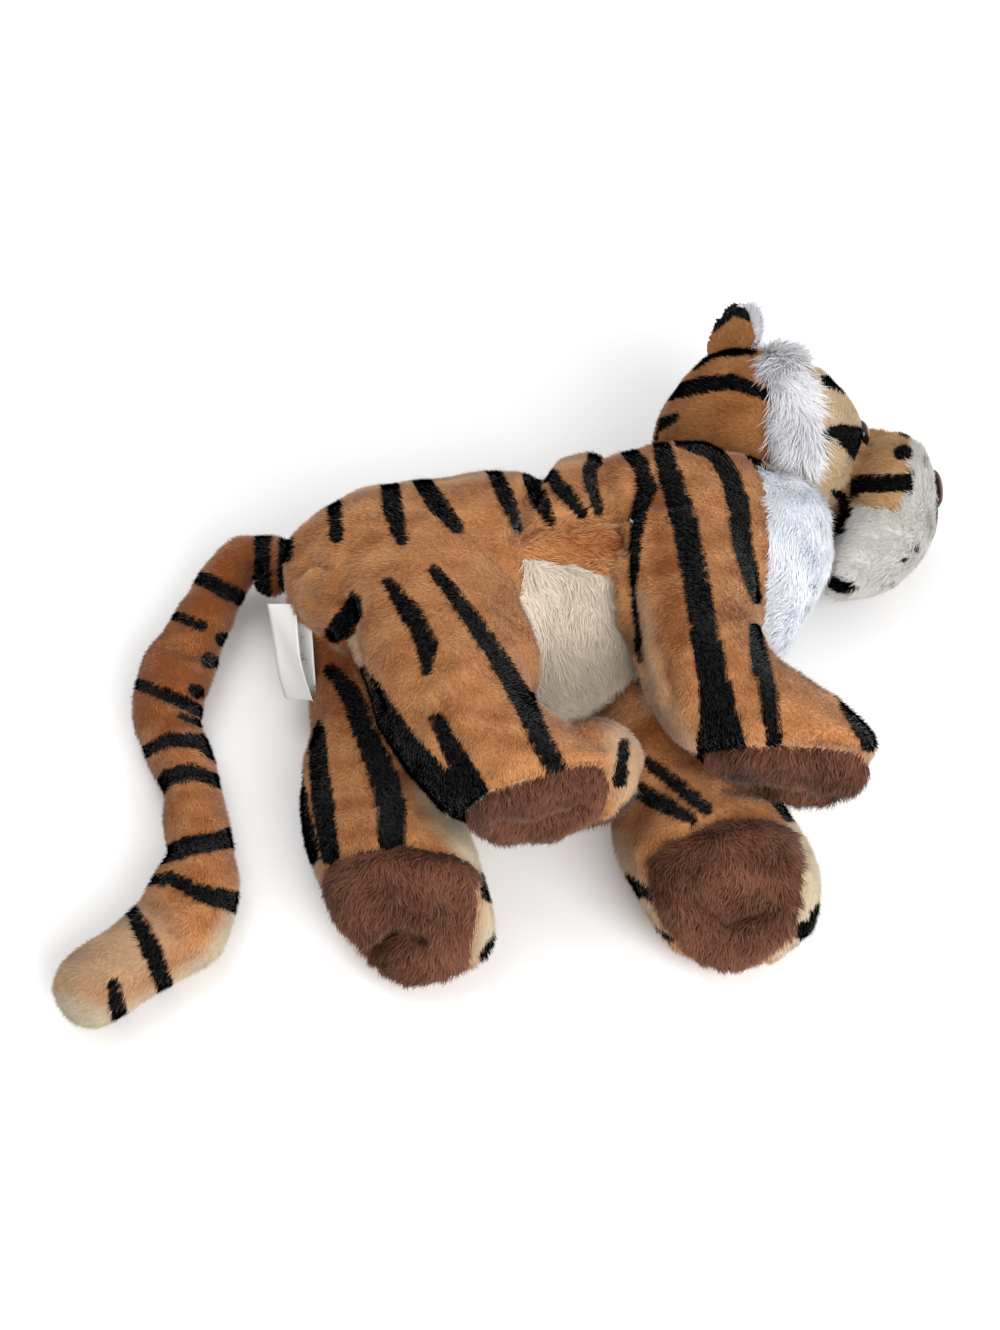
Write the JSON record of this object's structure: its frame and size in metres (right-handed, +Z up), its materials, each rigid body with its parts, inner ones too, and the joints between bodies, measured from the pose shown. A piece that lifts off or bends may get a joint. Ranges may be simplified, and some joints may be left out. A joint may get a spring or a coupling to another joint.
{
  "type": "plush tiger",
  "caption": "Floppy striped plush tiger lying on its side, with long pile belly, bib and cheeks, brown soles and soft jointed head, ears, legs and tail.",
  "frame": {"origin": "on the floor under the middle of the toy's outline", "axes": "+X towards the head, -Y towards the feet, +Z up through the tiger's right side, which lies on its left side"},
  "size_m": [0.3742, 0.3418, 0.1054],
  "materials": {
    "tan_plush": "short cut-pile plush, orange tan with black tiger stripes",
    "face_plush": "short cut-pile plush, pale tan",
    "white_pile": "long-pile white plush",
    "brown_plush": "combed brown plush",
    "fibre_fill": "loose polyester fibre filling",
    "pellet_cloth": "thin woven bag holding plastic pellets",
    "eye_plastic": "gloss moulded eye, brown black",
    "washer_plastic": "natural moulded locking washer",
    "nose_satin": "satin-stitched nose, dark brown",
    "label_satin": "bare white satin ribbon"
  },
  "bodies": {
    "body": {"body_skin": "tan_plush", "belly_panel": "white_pile", "chest_bib": "white_pile", "body_filling": "fibre_fill", "pellet_bag": "pellet_cloth", "care_label": "label_satin"},
    "head": {"head_skin": "tan_plush", "face_skin": "face_plush", "head_filling": "fibre_fill", "eye_right": "eye_plastic", "eye_right_washer": "washer_plastic", "eye_left": "eye_plastic", "eye_left_washer": "washer_plastic", "cheek_ruff_right": "white_pile", "cheek_ruff_left": "white_pile", "muzzle_skin": "white_pile", "upper_muzzle_skin": "face_plush", "muzzle_filling": "fibre_fill", "nose": "nose_satin"},
    "ear_right": {"ear_right_back": "tan_plush", "ear_right_lining": "white_pile"},
    "ear_left": {"ear_left_back": "tan_plush", "ear_left_lining": "white_pile"},
    "front_leg_right": {"front_leg_right_skin": "tan_plush", "front_leg_right_filling": "fibre_fill", "front_leg_right_sole": "brown_plush"},
    "front_leg_left": {"front_leg_left_skin": "tan_plush", "front_leg_left_filling": "fibre_fill", "front_leg_left_sole": "brown_plush"},
    "hind_leg_right": {"hind_leg_right_skin": "tan_plush", "hind_leg_right_filling": "fibre_fill", "hind_leg_right_sole": "brown_plush"},
    "hind_leg_left": {"hind_leg_left_skin": "tan_plush", "hind_leg_left_filling": "fibre_fill", "hind_leg_left_sole": "brown_plush"},
    "tail_root": {"tail_root_skin": "tan_plush", "tail_root_filling": "fibre_fill"},
    "tail_upper": {"tail_upper_skin": "tan_plush", "tail_upper_filling": "fibre_fill"},
    "tail_lower": {"tail_lower_skin": "tan_plush", "tail_lower_filling": "fibre_fill"},
    "tail_tip": {"tail_tip_skin": "tan_plush", "tail_tip_filling": "fibre_fill"}
  },
  "joints": [
    {"name": "neck_nod", "type": "hinge", "parent": "body", "child": "head", "pos_m": [0.0881, 0.06542, 0.05024], "axis": [0, 0, 1], "range_deg": [-3, 18]},
    {"name": "ear_right_fold", "type": "hinge", "parent": "head", "child": "ear_right", "pos_m": [0.08607, 0.14141, 0.08159], "axis": [-0.7225, 0.3148, -0.6155], "range_deg": [-20, 20], "stiffness_Nm_per_rad": 0.01},
    {"name": "ear_left_fold", "type": "hinge", "parent": "head", "child": "ear_left", "pos_m": [0.07742, 0.14491, 0.02864], "axis": [0.4833, -0.2181, -0.8479], "range_deg": [-20, 20], "stiffness_Nm_per_rad": 0.01},
    {"name": "front_leg_right_swing", "type": "hinge", "parent": "body", "child": "front_leg_right", "pos_m": [0.04994, 0.01942, 0.07722], "axis": [0, 0, 1], "range_deg": [-10, 12]},
    {"name": "front_leg_left_swing", "type": "hinge", "parent": "body", "child": "front_leg_left", "pos_m": [0.04994, 0.01942, 0.02451], "axis": [0, 0, 1], "range_deg": [-6, 10]},
    {"name": "hind_leg_right_swing", "type": "hinge", "parent": "body", "child": "hind_leg_right", "pos_m": [-0.05626, 0.01942, 0.07524], "axis": [0, 0, 1], "range_deg": [-6, 7]},
    {"name": "hind_leg_left_swing", "type": "hinge", "parent": "body", "child": "hind_leg_left", "pos_m": [-0.05626, 0.01942, 0.02451], "axis": [0, 0, 1], "range_deg": [-4, 8]},
    {"name": "tail_root_bend", "type": "hinge", "parent": "body", "child": "tail_root", "pos_m": [-0.1129, 0.04642, 0.04356], "axis": [0, 0, 1], "range_deg": [-18, 5]},
    {"name": "tail_upper_bend", "type": "hinge", "parent": "tail_root", "child": "tail_upper", "pos_m": [-0.1525, 0.04142, 0.0148], "axis": [0, 0, 1], "range_deg": [-18, 5]},
    {"name": "tail_lower_bend", "type": "hinge", "parent": "tail_upper", "child": "tail_lower", "pos_m": [-0.1619, -0.03358, 0.0148], "axis": [0, 0, 1], "range_deg": [-18, 10]},
    {"name": "tail_tip_bend", "type": "hinge", "parent": "tail_lower", "child": "tail_tip", "pos_m": [-0.1413, -0.09658, 0.0148], "axis": [0, 0, 1], "range_deg": [-18, 16]}
  ]
}
